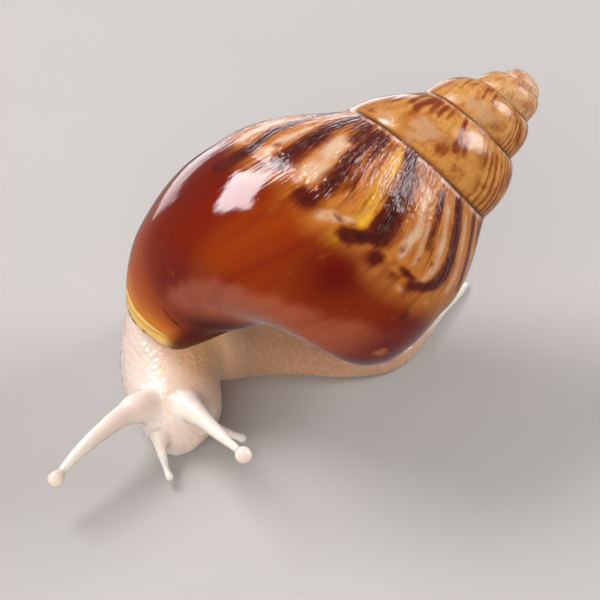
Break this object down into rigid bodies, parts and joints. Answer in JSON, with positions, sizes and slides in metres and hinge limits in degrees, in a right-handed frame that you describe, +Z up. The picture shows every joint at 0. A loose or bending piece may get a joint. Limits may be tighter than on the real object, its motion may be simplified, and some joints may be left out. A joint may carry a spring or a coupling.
{
  "type": "giant african land snail",
  "caption": "Land snail crawling on its flat foot, with a tall pointed spiral shell, bent neck and outstretched feelers; a still life-size model.",
  "frame": {"origin": "on the floor, under the middle of the snail's overall width and length", "axes": "+Z up; the tail points along +Y and the front of the foot along -Y; the snail's left side, to which its head is bent, faces +X"},
  "size_m": [0.0534, 0.0936, 0.051],
  "materials": {
    "shell": "glossy red-brown and amber with dark flames",
    "flesh": "moist cream-white, finely pebbled",
    "mantle": "moist smooth pale cream",
    "eye_bulb": "moist smooth pale cream"
  },
  "bodies": {
    "root": {"shell": "shell", "mantle_collar": "mantle", "tail": "flesh", "foot_back": "flesh", "foot_middle": "flesh", "foot_front": "flesh", "neck": "flesh", "head": "flesh", "upper_feeler_right": "flesh", "upper_feeler_left": "flesh", "lower_feeler_right": "flesh", "lower_feeler_left": "flesh", "eye_right": "eye_bulb", "eye_left": "eye_bulb"}
  },
  "joints": []
}
